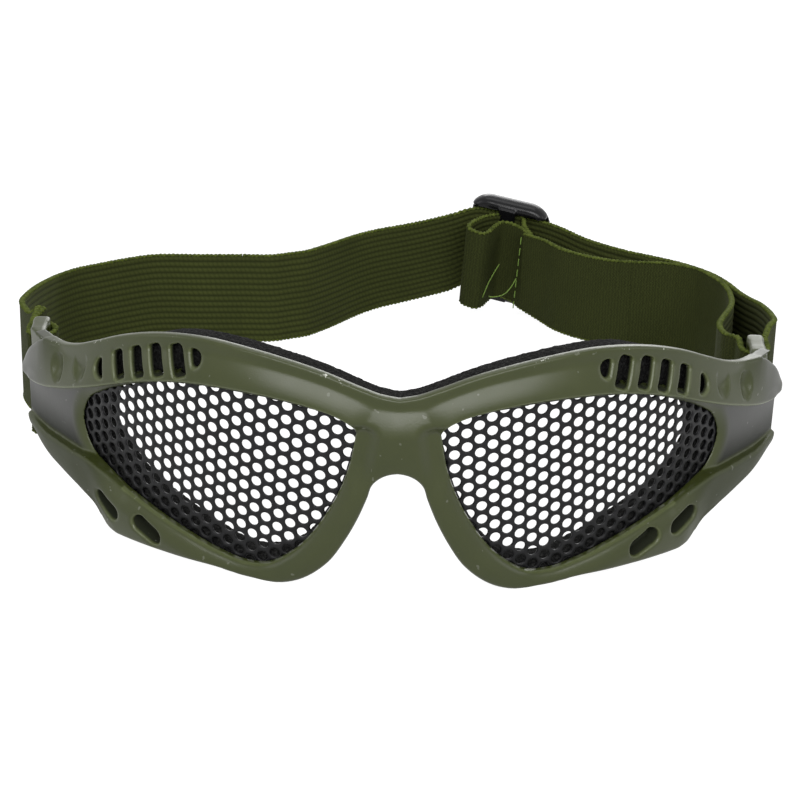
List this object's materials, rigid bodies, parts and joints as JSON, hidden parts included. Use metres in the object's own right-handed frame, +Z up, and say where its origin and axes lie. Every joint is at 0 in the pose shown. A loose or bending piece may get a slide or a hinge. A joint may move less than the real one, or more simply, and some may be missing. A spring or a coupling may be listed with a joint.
{
  "type": "mesh safety goggles",
  "caption": "Wrap-around safety goggles: moulded frame, curved perforated metal lenses, foam face seal, and elastic head strap sewn to side posts with a slider for length.",
  "frame": {"origin": "bottom centre of the whole part's bounding box, on the table it stands on", "axes": "+X to the right in the picture, which is what right means in every name and is the wearer's left hand; +Y from the lenses back towards the strap's slider; +Z up"},
  "size_m": [0.1818, 0.2236, 0.0514],
  "materials": {
    "frame": "moulded satin olive green, soft and flexible",
    "mesh": "black satin coated perforated steel",
    "foam": "black fuzzy face foam",
    "webbing": "ribbed olive elastic webbing with looped edges",
    "slider": "glossy black moulded plastic",
    "thread": "yellow green sewing thread"
  },
  "bodies": {
    "goggles": {"frame": "frame", "right_mesh_lens": "mesh", "left_mesh_lens": "mesh", "foam_liner": "foam", "left_post_loop": "webbing", "left_loop_stitching": "thread", "right_post_turn": "webbing", "left_side_band": "webbing", "right_outer_band": "webbing", "right_inner_band": "webbing"},
    "strap_rear": {"rear_band": "webbing", "inner_band_end": "webbing"},
    "slider": {"strap_slider": "slider", "slider_end_loop": "webbing", "end_seam_stitching": "thread"}
  },
  "joints": [
    {"name": "strap_stretch", "type": "slide", "parent": "goggles", "child": "strap_rear", "axis": [0, 1, 0], "range_m": [0, 0.05], "stiffness_N_per_m": 150, "deforming": ["left_side_band", "right_outer_band", "right_inner_band"]},
    {"name": "slider_travel", "type": "slide", "parent": "strap_rear", "child": "slider", "axis": [0.9397, -0.342, 0], "range_m": [-0.004, 0.005], "deforming": ["inner_band_end"]}
  ]
}
